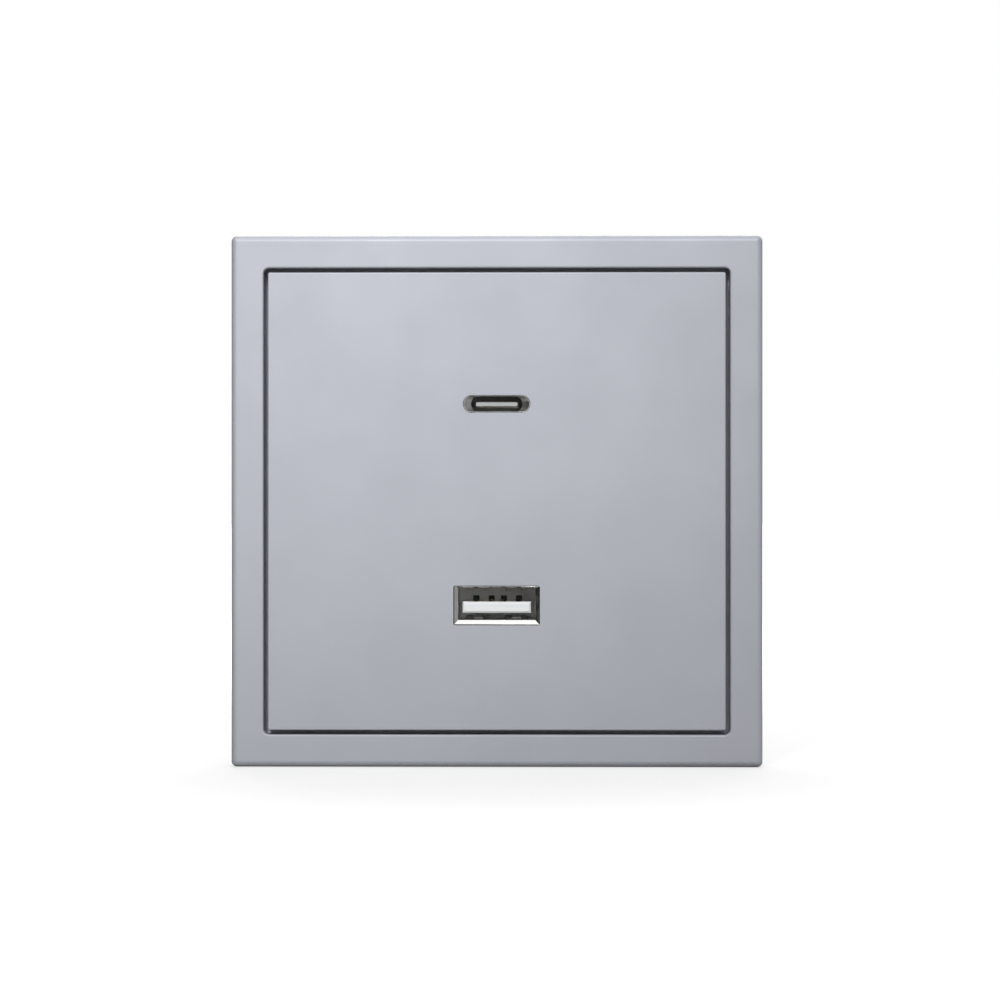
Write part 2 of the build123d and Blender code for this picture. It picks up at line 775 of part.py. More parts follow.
def a_spring(x, side):
    """One retention spring: a slit tongue pressed out of the shell that dips into the opening."""
    wall = side * a_opening_height / 2
    near_y = a_mouth_y + a_flare_depth + a_spring_root
    far_y = near_y + a_spring_length
    low_y = near_y + a_spring_rise
    dip = wall - side * a_spring_dip
    outer = side * a_shell_thickness
    outline = Polyline(
        (near_y, wall),
        (low_y, dip),
        (far_y, wall),
        (far_y, wall + outer),
        (low_y, dip + outer),
        (near_y, wall + outer),
        close=True,
    )
    side_plane = Plane(origin=(x, 0, a_z), x_dir=(0, 1, 0), z_dir=(1, 0, 0))
    tongue = extrude(side_plane * make_face(outline), amount=a_spring_width / 2, both=True)
    slit_near = near_y + a_spring_slit / 2
    slit_far = far_y - a_spring_slit / 2
    slit = Pos(x, (slit_near + slit_far) / 2, a_z + wall)
    return tongue - slit * Box(a_spring_slit, slit_far - slit_near, 4 * a_shell_thickness + 2 * a_spring_dip)


def make_usb_a_shell():
    tube = Rectangle(a_shell_width, a_shell_height) - Rectangle(a_opening_width, a_opening_height)
    body = prism(Pos(0, a_z) * tube, a_mouth_y + a_flare_depth, port_board_front_y)
    cut_length = a_spring_length + a_spring_slit / 2
    cut_y = a_mouth_y + a_flare_depth + a_spring_root + cut_length / 2
    for x in a_spring_places:
        for side in (-1, 1):
            wall_z = a_z + side * (a_shell_height - a_shell_thickness) / 2
            cut = Box(a_spring_width + 2 * a_shell_thickness, cut_length, 2 * a_shell_thickness)
            body -= Pos(x, cut_y, wall_z) * cut
    springs = [a_spring(x, side) for x in a_spring_places for side in (-1, 1)]
    legs = make_legs([leg for leg in shell_legs() if leg[2] < leg[3]])
    return together([body, a_flare(), *springs, *legs])


def make_usb_a_insulator():
    base = block(a_opening_width, a_opening_height, a_base_front_y, port_board_front_y, z=a_z)
    tongue_z = a_z + (a_tongue_low + a_tongue_high) / 2
    near_y = a_mouth_y + a_tongue_recess
    tongue = block(a_tongue_width, a_tongue_thickness, near_y, a_base_front_y, z=tongue_z)
    tip_edges = tongue.faces().sort_by(Axis.Y)[0].edges()
    tongue = chamfer(tip_edges, a_tongue_chamfer)
    body = base + tongue
    groove_z = a_z + a_tongue_high - a_groove_depth / 2
    slot_rise = a_contact_rise + a_contact_thickness
    groove_near_y = near_y + a_groove_depth
    for x in a_contact_places:
        groove = block(a_contact_width, a_groove_depth, groove_near_y, port_board_front_y, x, groove_z)
        slot_height = a_groove_depth + slot_rise + a_contact_thickness
        slot_z = a_z + a_tongue_high - a_groove_depth + slot_height / 2
        slot = block(a_contact_width, slot_height, a_base_front_y, port_board_front_y, x, slot_z)
        body = body - groove - slot
    return body


def make_usb_a_contacts():
    """Four spring contacts that lie in the tongue's grooves and bow up above it."""
    floor_z = a_tongue_high - a_groove_depth
    near_y = a_mouth_y + a_tongue_recess + 2 * a_groove_depth
    bow_y = near_y + (a_base_front_y - near_y) * a_contact_bow_share
    top_z = a_tongue_high + a_contact_rise - a_contact_thickness
    end_y = port_board_rear_y
    t = a_contact_thickness
    outline = Polyline(
        (near_y, floor_z),
        (bow_y, top_z),
        (a_base_front_y, floor_z),
        (end_y, floor_z),
        (end_y, floor_z + t),
        (a_base_front_y, floor_z + t),
        (bow_y, top_z + t),
        (near_y, floor_z + t),
        close=True,
    )
    width = a_contact_width - 2 * board_hole_clearance
    contacts = []
    for x in a_contact_places:
        side_plane = Plane(origin=(x, 0, a_z), x_dir=(0, 1, 0), z_dir=(1, 0, 0))
        contacts.append(extrude(side_plane * make_face(outline), amount=width / 2, both=True))
    return Compound(contacts)


# USB-C receptacle: drawn shell, insulator with its tongue and two rows of contacts

def c_flare():
    """The mouth of the USB-C shell, whose ends splay out to fill the cover's aperture."""
    mouth_width = c_aperture_width - 2 * c_mouth_gap
    mouth_height = c_aperture_height - 2 * c_mouth_gap
    wide = c_outline(mouth_width, mouth_height)
    wide_inner = c_outline(mouth_width - 2 * c_mouth_edge, mouth_height - 2 * c_mouth_edge)
    root = c_outline(c_flare_root_width, mouth_height)
    opening = c_outline(c_opening_width, c_opening_height)
    near_y = front_y + c_mouth_recess
    solid = loft([facing(near_y) * wide, facing(c_mouth_y) * root])
    hole = loft([facing(near_y) * wide_inner, facing(c_mouth_y) * opening])
    return solid - hole


def make_usb_c_shell():
    ring = c_outline(c_shell_width, c_shell_height) - c_outline(c_opening_width, c_opening_height)
    body = prism(ring, c_mouth_y, port_board_front_y)
    legs = make_legs([leg for leg in shell_legs() if leg[2] > leg[3]])
    return together([body, c_flare(), *legs])


def make_usb_c_insulator():
    base = prism(c_outline(c_opening_width, c_opening_height), c_base_front_y, port_board_front_y)
    root = block(c_root_width, c_root_height, c_mouth_y + c_root_recess, c_base_front_y, z=c_z)
    tongue = RectangleRounded(c_tongue_width, c_tongue_core, c_tongue_corner)
    near_y = c_mouth_y + c_tongue_recess
    return together([base, root, prism(Pos(0, c_z) * tongue, near_y, c_mouth_y + c_root_recess)])


def make_usb_c_contacts():
    """Twelve flat contacts on each face of the tongue."""
    near_y = c_mouth_y + c_tongue_recess + c_contact_recess
    far_y = c_mouth_y + c_root_recess
    contacts = []
    for side in (-1, 1):
        middle_z = c_z + side * (c_tongue_core + c_contact_thickness) / 2
        for n in range(c_contact_count):
            x = (n - (c_contact_count - 1) / 2) * c_contact_pitch
            contacts.append(block(c_contact_width, c_contact_thickness, near_y, far_y, x, middle_z))
    return Compound(contacts)


# Mains terminals: nylon block, and for each pole a bar, a rising clamp and its screw

bar_pin_z = main_board_low_z + terminal_bar_pin_inset
bar_hole_height = terminal_bar_thickness + 2 * board_hole_clearance


def make_terminal_block():
    height = terminal_block_top_z - block_low_z
    middle_z = (terminal_block_top_z + block_low_z) / 2
    body = block(terminal_block_width, height, terminal_block_front_y, rear_inner_y, z=middle_z)
    chamber_width = clamp_width + 2 * clamp_play
    chamber_height = chamber_high_z - chamber_low_z
    chamber_z = (chamber_high_z + chamber_low_z) / 2
    for x in terminal_places:
        body -= block(chamber_width, chamber_height, terminal_block_front_y, shoulder_front_y, x, chamber_z)
        body -= rod(terminal_screw_radius + terminal_head_play, shoulder_front_y, shoulder_rear_y, x, clamp_z)
        body -= rod(terminal_head_radius + terminal_head_play, shoulder_rear_y, rear_inner_y, x, clamp_z)
        wire_hole = Cylinder(wire_hole_radius, chamber_floor_thickness)
        body -= Pos(x, wire_y, (block_low_z + chamber_low_z) / 2) * wire_hole
        bar_slot_height = terminal_block_top_z - chamber_high_z
        bar_slot_z = (terminal_block_top_z + chamber_high_z) / 2
        slot_width = terminal_bar_width + 2 * board_hole_clearance
        near_y = bar_front_y - board_hole_clearance
        far_y = bar_rear_y + board_hole_clearance
        body -= block(slot_width, bar_slot_height, near_y, far_y, x, bar_slot_z)
    return body


def make_terminal_bar(x):
    """A bent brass bar: flat inside the clamp, then a narrow pin through the main board."""
    low_z = chamber_low_z + clamp_play / 2
    high_z = bar_pin_z + terminal_bar_thickness / 2
    flat = block(terminal_bar_width, high_z - low_z, bar_front_y, bar_rear_y, x, (high_z + low_z) / 2)
    far_y = main_board_rear_y + terminal_bar_thickness
    pin = block(terminal_bar_pin_width, terminal_bar_thickness, bar_front_y, far_y, x, bar_pin_z)
    return flat + pin


def make_terminal_clamp(x):
    """The rising clamp: a square loop whose rear wall is the nut of the screw."""
    loop = block(clamp_width, clamp_height, jaw_front_y, nut_rear_y, x, clamp_z)
    inner_width = clamp_width - 2 * clamp_side_wall
    loop -= block(inner_width, clamp_height, jaw_rear_y, nut_front_y, x, clamp_z)
    return loop - rod(terminal_screw_radius + terminal_screw_play, nut_front_y, nut_rear_y, x, clamp_z)


def make_terminal_screw(x):
    """A captive cheese-head screw whose tip bears on the bar."""
    shank = rod(terminal_screw_radius, bar_rear_y + terminal_screw_play, head_under_y, x, clamp_z)
    head = rod(terminal_head_radius, head_under_y, head_top_y, x, clamp_z)
    head = chamfer(head.faces().sort_by(Axis.Y)[-1].edges(), terminal_head_chamfer)
    slot_y = head_top_y - terminal_slot_depth
    slot = block(terminal_slot_width, 2 * terminal_head_radius, slot_y, head_top_y, x, clamp_z)
    return shank + head - slot


# Parts of the power supply on the main board. Each stands on the board's room side.

def lead_outline(x, z, radius=lead_radius):
    """The eight-sided outline of a wire lead or of its hole."""
    return Pos(x, z) * RegularPolygon(radius, lead_sides, major_radius=False)


def leads(places, y_near):
    """Wire leads from a part's underside through the board."""
    far_y = main_board_rear_y + lead_stub
    return [prism(lead_outline(x, z), y_near, far_y) for x, z in places]


def pair_of_leads(place, spacing):
    x, z = place
    return [(x - spacing / 2, z), (x + spacing / 2, z)]


transformer_x, transformer_z = transformer_place
transformer_pins = [
    (transformer_x + across * transformer_pin_pitch, transformer_z + up * transformer_pin_row_offset)
    for across in (-1, 0, 1)
    for up in (-1, 1)
]
input_cap_leads = [
    pair_of_leads((x, z - input_cap_length / 2 - input_cap_lead_bend), input_cap_lead_spacing)
    for x, z in input_cap_places
]
output_cap_leads = [pair_of_leads(place, output_cap_lead_spacing) for place in output_cap_places]
line_cap_leads = pair_of_leads(line_cap_place, line_cap_lead_spacing)
fuse_leads = pair_of_leads(fuse_place, fuse_lead_spacing)
varistor_leads = pair_of_leads(varistor_place, varistor_lead_spacing)
safety_cap_leads = pair_of_leads(safety_cap_place, safety_cap_lead_spacing)
choke_leads = pair_of_leads(choke_place, choke_lead_spacing)


def lead_places():
    """Where every wire lead goes through the main board."""
    groups = [transformer_pins, *input_cap_leads, *output_cap_leads, line_cap_leads]
    groups += [fuse_leads, varistor_leads, safety_cap_leads, choke_leads]
    return [place for group in groups for place in group]


def can_section():
    """Half the section of an electrolytic can: rounded shoulders and a crimped bead near the leads."""
    half = input_cap_length / 2
    waist = input_cap_radius - can_bead_depth
    bead_z = -half + can_bead_height
    outline = Polyline(
        (0, 0, -half),
        (input_cap_radius - can_shoulder, 0, -half),
        (input_cap_radius, 0, -half + can_shoulder),
        (input_cap_radius, 0, bead_z - can_bead_depth),
        (waist, 0, bead_z),
        (input_cap_radius, 0, bead_z + can_bead_depth),
        (input_cap_radius, 0, half - can_shoulder),
        (input_cap_radius - can_shoulder, 0, half),
        (0, 0, half),
        close=True,
    )
    return make_face(outline)


def make_input_capacitors():
    """Two electrolytic cans that lie flat on the board, each with a crimped bead."""
    cans = []
    for (x, z), places in zip(input_cap_places, input_cap_leads):
        axis_y = main_board_front_y - input_cap_radius
        can = Pos(x, axis_y, z) * revolve(can_section(), Axis.Z)
        stubs = []
        for lead_x, lead_z in places:
            run = z - input_cap_length / 2 - lead_z
            stub = Pos(lead_x, axis_y, lead_z + run / 2) * Box(2 * lead_radius, 2 * lead_radius, run)
            stubs += [stub, *leads([(lead_x, lead_z)], axis_y - lead_radius)]
        cans.append(together([can, *stubs]))
    return Compound(cans)


def make_output_capacitors():
    """Two upright polymer cans."""
    cans = []
    for (x, z), places in zip(output_cap_places, output_cap_leads):
        near_y = main_board_front_y - output_cap_height
        can = rod(output_cap_radius, near_y, main_board_front_y, x, z)
        can = chamfer(can.faces().sort_by(Axis.Y)[0].edges(), can_shoulder)
        cans.append(together([can, *leads(places, main_board_front_y)]))
    return Compound(cans)


def boxed_part(place, size, places):
    """A moulded box with rounded edges, such as a film capacitor or a fuse."""
    width, height, depth = size
    box = block(width, height, main_board_front_y - depth, main_board_front_y, *place)
    box = chamfer(box.edges().filter_by(Axis.Y), box_edge)
    return together([box, *leads(places, main_board_front_y)])


def disc_part(place, radius, thickness, places):
    """A dipped disc that stands on its leads, such as a varistor."""
    x, z = place
    disc = Cylinder(radius, thickness)
    disc = chamfer(disc.edges().filter_by(GeomType.CIRCLE), thickness * disc_edge_share)
    disc = Pos(x, main_board_front_y - radius - lead_stub, z) * disc
    stand = leads(places, main_board_front_y - radius - lead_stub)
    return together([disc, *stand])


def make_choke():
    """A drum choke: two flanges and the winding between them, dipped as one."""
    x, z = choke_place
    near_y = main_board_front_y - choke_height
    waist_near_y = near_y + choke_flange
    waist_far_y = main_board_front_y - choke_flange
    pieces = [
        rod(choke_radius, near_y, waist_near_y, x, z),
        rod(choke_radius - choke_waist, waist_near_y, waist_far_y, x, z),
        rod(choke_radius, waist_far_y, main_board_front_y, x, z),
        *leads(choke_leads, main_board_front_y),
    ]
    return together(pieces)


# Transformer: two ferrite E cores, a bobbin with its pins, and the taped winding

core_middle_y = main_board_front_y - core_stand
core_near_y = core_middle_y - core_depth / 2
core_far_y = core_middle_y + core_depth / 2
core_window_height = transformer_height - 2 * core_end_bar
bobbin_inner_width = core_centre_leg + 2 * bobbin_clearance
bobbin_inner_depth = core_depth + 2 * bobbin_clearance
bobbin_outer_width = bobbin_inner_width + 2 * bobbin_wall
bobbin_outer_depth = bobbin_inner_depth + 2 * bobbin_wall
bobbin_height = core_window_height - 2 * bobbin_clearance
transformer_middle = Pos(transformer_x, core_middle_y, transformer_z)


def make_transformer_core():
    """Two E cores that meet at the middle of the bobbin, as one ferrite loop with a centre leg."""
    outline = Rectangle(transformer_width, transformer_height)
    gap_width = (transformer_width - 2 * core_side_bar - core_centre_leg) / 2
    gap_x = (core_centre_leg + gap_width) / 2
    for side in (-1, 1):
        outline -= Pos(side * gap_x, 0) * Rectangle(gap_width, core_window_height)
    body = prism(Pos(transformer_x, transformer_z) * outline, core_near_y, core_far_y)
    halves = []
    for side in (-1, 1):
        keep_z = transformer_z + side * (transformer_height + core_joint_gap) / 2
        keep = block(transformer_width, transformer_height, core_near_y, core_far_y, transformer_x, keep_z)
        halves += (body & keep).solids()
    return Compound(halves)


def make_transformer_bobbin():
    """A coil former: a hollow tube round the centre leg, an end flange each way and the pin feet."""
    flange_width = transformer_width - 2 * core_side_bar - 2 * bobbin_clearance
    flange_near_y = main_board_front_y - bobbin_flange_depth
    foot_near_y = core_far_y + bobbin_clearance
    pieces = [transformer_middle * Box(bobbin_outer_width, bobbin_outer_depth, bobbin_height)]
    for side in (-1, 1):
        flange_z = transformer_z + side * (bobbin_height - bobbin_flange) / 2
        foot_z = transformer_z + side * transformer_pin_row_offset
        for height, near_y, z in (
            (bobbin_flange, flange_near_y, flange_z),
            (bobbin_foot_height, foot_near_y, foot_z),
        ):
            pieces.append(block(flange_width, height, near_y, main_board_front_y, transformer_x, z))
    body = together(pieces)
    body -= transformer_middle * Box(bobbin_inner_width, bobbin_inner_depth, 2 * transformer_height)
    for x, z in transformer_pins:
        body -= prism(lead_outline(x, z), foot_near_y, main_board_front_y)
    return body


def make_transformer_winding():
    """The layers of wire under yellow tape, wound on the bobbin's tube."""
    height = bobbin_height - 2 * bobbin_flange - 2 * winding_play
    coil = Box(bobbin_outer_width + 2 * winding_build, bobbin_outer_depth + 2 * winding_build, height)
    coil = fillet(coil.edges().filter_by(Axis.Z), winding_build)
    return transformer_middle * (coil - Box(bobbin_outer_width, bobbin_outer_depth, height))


def make_transformer_pins():
    """The six pins pressed into the bobbin's feet."""
    return Compound(leads(transformer_pins, core_far_y + 2 * bobbin_clearance))


# Chips on the two boards

def chip(place, size, y_seat, row_count):
    """A moulded chip on the wall side of a board, with a row of flat leads along each long side."""
    x, z = place
    width, height, depth = size
    body = block(width, height, y_seat + chip_lead / 2, y_seat + depth, x, z)
    pitch = width / row_count
    pieces = [body]
    for n in range(row_count):
        lead_x = x + (n - (row_count - 1) / 2) * pitch
        lead_width = pitch * chip_lead_share
        reach = height + 2 * chip_lead_reach
        pieces.append(block(lead_width, reach, y_seat, y_seat + chip_lead, lead_x, z))
    return together(pieces)


def make_inductor():
    """A moulded power inductor with chamfered corners."""
    width, height, depth = inductor_size
    outline = Pos(*inductor_place) * RectangleRounded(width, height, inductor_corner)
    return prism(outline, port_board_rear_y, port_board_rear_y + depth)


def make_ceramic_capacitors():
    width, height, depth = ceramic_size
    far_y = port_board_rear_y + depth
    return Compound([block(width, height, port_board_rear_y, far_y, x, z) for x, z in ceramic_places])


live_x, neutral_x = terminal_places
parts = {
    "outer_frame": make_outer_frame(),
    "cover_plate": make_cover_plate(),
    "steel_yoke": make_yoke(),
    "front_housing": make_front_housing(),
    "rear_housing": make_rear_housing(),
    "case_screws": make_case_screws(),
    "port_board": make_port_board(),
    "main_board": make_main_board(),
    "barrier_sheet": make_barrier(),
    "link_pins": make_link_pins(),
    "link_collar": make_link_collar(),
    "usb_a_shell": make_usb_a_shell(),
    "usb_a_insulator": make_usb_a_insulator(),
    "usb_a_contacts": make_usb_a_contacts(),
    "usb_c_shell": make_usb_c_shell(),
    "usb_c_insulator": make_usb_c_insulator(),
    "usb_c_contacts": make_usb_c_contacts(),
    "terminal_block": make_terminal_block(),
    "live_bar": make_terminal_bar(live_x),
    "live_clamp": make_terminal_clamp(live_x),
    "live_screw": make_terminal_screw(live_x),
    "neutral_bar": make_terminal_bar(neutral_x),
    "neutral_clamp": make_terminal_clamp(neutral_x),
    "neutral_screw": make_terminal_screw(neutral_x),
    "transformer_core": make_transformer_core(),
    "transformer_bobbin": make_transformer_bobbin(),
    "transformer_winding": make_transformer_winding(),
    "transformer_pins": make_transformer_pins(),
    "input_capacitors": make_input_capacitors(),
    "output_capacitors": make_output_capacitors(),
    "line_capacitor": boxed_part(line_cap_place, line_cap_size, line_cap_leads),
    "fuse": boxed_part(fuse_place, fuse_size, fuse_leads),
    "varistor": disc_part(varistor_place, varistor_radius, varistor_thickness, varistor_leads),
    "safety_capacitor": disc_part(
        safety_cap_place, safety_cap_radius, safety_cap_thickness, safety_cap_leads
    ),
    "line_choke": make_choke(),
    "bridge_rectifier": chip(bridge_chip_place, bridge_chip_size, main_board_rear_y, 2),
    "power_switch_chip": chip(switch_chip_place, switch_chip_size, main_board_rear_y, 4),
    "output_rectifier_chip": chip(rectifier_chip_place, rectifier_chip_size, main_board_rear_y, 4),
    "optocoupler": chip(coupler_place, coupler_size, main_board_rear_y, 2),
    "charge_controller_chip": chip(charge_chip_place, charge_chip_size, port_board_rear_y, 4),
    "output_inductor": make_inductor(),
    "ceramic_capacitors": make_ceramic_capacitors(),
}

os.makedirs("parts", exist_ok=True)
for name, shape in parts.items():
    export_step(shape, f"parts/{name}.step")
    print(name, len(shape.solids()), round(shape.volume, 2))
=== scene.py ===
import json
import math

import bmesh
import bpy
from mathutils import Matrix, Vector

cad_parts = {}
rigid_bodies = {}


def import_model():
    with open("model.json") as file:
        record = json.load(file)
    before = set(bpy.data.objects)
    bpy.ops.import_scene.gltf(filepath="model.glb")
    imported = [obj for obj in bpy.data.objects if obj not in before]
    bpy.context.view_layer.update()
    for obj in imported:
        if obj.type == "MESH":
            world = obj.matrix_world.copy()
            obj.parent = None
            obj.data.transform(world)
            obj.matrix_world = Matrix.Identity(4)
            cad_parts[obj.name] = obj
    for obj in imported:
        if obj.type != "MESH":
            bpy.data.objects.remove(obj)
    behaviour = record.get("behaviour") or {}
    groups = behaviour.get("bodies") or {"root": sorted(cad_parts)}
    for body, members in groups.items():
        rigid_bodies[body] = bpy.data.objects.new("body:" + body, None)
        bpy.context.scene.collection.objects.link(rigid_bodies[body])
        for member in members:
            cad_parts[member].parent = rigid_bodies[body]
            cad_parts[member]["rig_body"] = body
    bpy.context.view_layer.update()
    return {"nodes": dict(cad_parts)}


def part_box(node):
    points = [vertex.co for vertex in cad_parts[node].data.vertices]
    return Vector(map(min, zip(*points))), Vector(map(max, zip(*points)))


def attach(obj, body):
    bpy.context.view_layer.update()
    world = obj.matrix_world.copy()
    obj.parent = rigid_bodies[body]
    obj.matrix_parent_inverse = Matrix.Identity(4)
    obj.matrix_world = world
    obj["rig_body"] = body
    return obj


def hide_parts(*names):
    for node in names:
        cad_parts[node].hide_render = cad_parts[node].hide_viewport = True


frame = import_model()
nodes = frame["nodes"]
MM = 0.001


# Steel yoke
# One sheet of zinc-plated steel, blanked, beaded and folded back at its four sides. It carries the
# housing in its window and takes the hooks of the bezel in its slots. Two screws hold it to the
# wall box.

def link(name, data):
    """A new object at the origin that shows this mesh or other data."""
    made = bpy.data.objects.new(name, data)
    bpy.context.scene.collection.objects.link(made)
    return made


def make_plain(piece):
    """The piece's modifiers are carried out and removed."""
    shown = piece.evaluated_get(bpy.context.evaluated_depsgraph_get())
    mesh = bpy.data.meshes.new_from_object(shown)
    mesh.name = piece.name
    piece.modifiers.clear()
    piece.data = mesh


def seat(piece, node):
    """The piece rides on the body of this solid."""
    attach(piece, nodes[node]["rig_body"])


weld_distance = 0.0001 * MM
flat_angle = math.radians(0.3)
bevel_angle = math.radians(35)
sharp_angle = math.radians(50)


def eased(name, node, material, edge=0.12 * MM, reshape=None):
    """The solid with its sharp edges eased by a small radius, as a tool or a die leaves them.

    The mesh is in millimetres meanwhile, because faces as small as these in metres get no
    weighted normals.
    """
    work = bmesh.new()
    work.from_mesh(nodes[node].data)
    bmesh.ops.remove_doubles(work, verts=work.verts, dist=weld_distance)
    bmesh.ops.dissolve_limit(work, angle_limit=flat_angle, verts=work.verts, edges=work.edges)
    if reshape:
        for vert in work.verts:
            vert.co = reshape(vert.co)
    bmesh.ops.triangulate(work, faces=work.faces)
    mesh = bpy.data.meshes.new(name)
    work.to_mesh(mesh)
    work.free()
    mesh.transform(Matrix.Scale(1 / MM, 4))
    mesh.shade_smooth()
    mesh.materials.append(material)
    piece = link(name, mesh)
    bevel = piece.modifiers.new("eased_edges", "BEVEL")
    bevel.width = edge / MM
    bevel.segments = 2
    bevel.limit_method = "ANGLE"
    bevel.angle_limit = bevel_angle
    bevel.loop_slide = False
    make_plain(piece)
    piece.data.set_sharp_from_angle(angle=sharp_angle)
    normals = piece.modifiers.new("flat_faces", "WEIGHTED_NORMAL")
    normals.weight = 60
    normals.keep_sharp = True
    make_plain(piece)
    piece.data.transform(Matrix.Scale(MM, 4))
    seat(piece, node)
    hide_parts(node)


def feed(tree, socket, value):
    """The socket is set to a value, or joined to the socket that is given for one."""
    if isinstance(value, bpy.types.NodeSocket):
        tree.links.new(value, socket)
    else:
        socket.default_value = value


def add_node(tree, kind, **values):
    """A node, with its properties set and its sockets fed by name."""
    made = tree.nodes.new(kind)
    for key, value in values.items():
        if hasattr(made, key):
            setattr(made, key, value)
        else:
            feed(tree, made.inputs[key.replace("_", " ").title()], value)
    return made


def computed(tree, operation, first, second):
    """What this operation makes of two numbers or sockets."""
    step = add_node(tree, "ShaderNodeMath", operation=operation)
    feed(tree, step.inputs[0], first)
    feed(tree, step.inputs[1], second)
    return step.outputs[0]


def spread(tree, value, low, high, start=0.3, stop=0.7, curve="LINEAR"):
    """A value that runs from start to stop, as noise does, brought to run from low to high."""
    change = add_node(tree, "ShaderNodeMapRange", interpolation_type=curve, Value=value,
                      From_Min=start, From_Max=stop, To_Min=low, To_Max=high)
    return change.outputs["Result"]


def mixed(tree, factor, first, second):
    """A colour between two, each of which is a colour or a socket."""
    mix = add_node(tree, "ShaderNodeMix", data_type="RGBA")
    factor_in, first_in, second_in = mix.inputs[0], mix.inputs[6], mix.inputs[7]
    feed(tree, factor_in, factor)
    for socket, colour in ((first_in, first), (second_in, second)):
        is_socket = isinstance(colour, bpy.types.NodeSocket)
        feed(tree, socket, colour if is_socket else (*colour, 1.0))
    return mix.outputs[2]


def group_of(name, inputs, outputs):
    """An empty shader node group with named inputs and outputs."""
    group = bpy.data.node_groups.new(name, "ShaderNodeTree")
    for label, value in inputs.items():
        socket = group.interface.new_socket(label, in_out="INPUT", socket_type="NodeSocketFloat")
        socket.default_value = value
    for label in outputs:
        group.interface.new_socket(label, in_out="OUTPUT", socket_type="NodeSocketFloat")
    start = group.nodes.new("NodeGroupInput")
    end = group.nodes.new("NodeGroupOutput")
    return group, start, end


def surface_grain():
    """Fine grain of a moulded or painted skin: a height for the bump and a slow change of tone."""
    sizes = {"Grain Size": 0.1, "Cloud Size": 12.0}
    group, start, end = group_of("surface_grain", sizes, ["Height", "Tone"])
    place = add_node(group, "ShaderNodeTexCoord").outputs["Object"]
    for label, size, detail in (("Height", "Grain Size", 3.0), ("Tone", "Cloud Size", 2.0)):
        scale = computed(group, "DIVIDE", 1 / MM, start.outputs[size])
        noise = add_node(group, "ShaderNodeTexNoise", Vector=place, Scale=scale, Detail=detail)
        group.links.new(noise.outputs["Fac"], end.inputs[label])
    return group


def rolled_streaks():
    """Long fine streaks, as rolling or drawing leaves them along one axis of the metal."""
    scales = {f"Along {axis}": 40.0 for axis in "XYZ"}
    group, start, end = group_of("rolled_streaks", scales, ["Streak"])
    place = add_node(group, "ShaderNodeTexCoord").outputs["Object"]
    along = {axis: start.outputs[f"Along {axis}"] for axis in "XYZ"}
    axes = add_node(group, "ShaderNodeCombineXYZ", **along)
    stretch = add_node(group, "ShaderNodeVectorMath", operation="MULTIPLY")
    feed(group, stretch.inputs[0], place)
    feed(group, stretch.inputs[1], axes.outputs[0])
    noise = add_node(group, "ShaderNodeTexNoise", Vector=stretch.outputs[0], Scale=1.0, Detail=4.0)
    group.links.new(noise.outputs["Fac"], end.inputs["Streak"])
    return group


grain_group = surface_grain()
streak_group = rolled_streaks()


def blank_material(name, colour, roughness, metallic=0.0, specular=0.5):
    """A material with its shader ready to be joined up."""
    material = bpy.data.materials.new(name)
    material.use_nodes = True
    tree = material.node_tree
    shader = tree.nodes["Principled BSDF"]
    shader.inputs["Base Color"].default_value = (*colour, 1.0)
    shader.inputs["Roughness"].default_value = roughness
    shader.inputs["Metallic"].default_value = metallic
    shader.inputs["Specular IOR Level"].default_value = specular
    return material, tree, shader


def finish_skin(tree, shader, tone, colour, variation, gloss, height, depth):
    """The shader gets a colour that varies with the tone, a gloss and a relief of this depth."""
    darker = [c * (1 - variation) for c in colour]
    lighter = [min(1.0, c * (1 + variation)) for c in colour]
    base = mixed(tree, spread(tree, tone, 0.0, 1.0), darker, lighter)
    bump = add_node(tree, "ShaderNodeBump", Strength=1.0, Distance=depth * MM, Height=height)
    for label, value in (("Base Color", base), ("Roughness", gloss), ("Normal", bump.outputs[0])):
        tree.links.new(value, shader.inputs[label])


def moulding(name, colour, roughness, grain, depth, variation=0.06):
    """A moulded plastic: fine grain in relief, and slow changes of tone and gloss."""
    material, tree, shader = blank_material(name, colour, roughness)
    skin = add_node(tree, "ShaderNodeGroup", node_tree=grain_group, Grain_Size=grain)
    tone = skin.outputs["Tone"]
    duller, glossier = roughness + 0.05, roughness - 0.05
    gloss = spread(tree, tone, duller, glossier)
    finish_skin(tree, shader, tone, colour, variation, gloss, skin.outputs["Height"], depth)
    return material


def plated(name, colour, roughness, streaks, depth=0.002, variation=0.08):
    """A plated or bare metal with the streaks of its rolling or drawing."""
    material, tree, shader = blank_material(name, colour, roughness, metallic=1.0)
    along = {f"Along_{axis}": scale for axis, scale in zip("XYZ", streaks)}
    drawn = add_node(tree, "ShaderNodeGroup", node_tree=streak_group, **along)
    streak = drawn.outputs["Streak"]
    duller, glossier = roughness + 0.08, roughness - 0.06
    gloss = spread(tree, streak, duller, glossier)
    finish_skin(tree, shader, streak, colour, variation, gloss, streak, depth)
    return material


zinc_sheet = plated("zinc_sheet", (0.60, 0.61, 0.62), 0.36, streaks=(2500, 2500, 120))
eased("yoke_sheet", "steel_yoke", zinc_sheet, edge=0.1 * MM)


# Rear housing
# A deep box moulded in dark flame-retardant plastic, with cooling slots, screw wells at its corners
# and two openings over the terminal screws. Raised letters beside them name the poles.

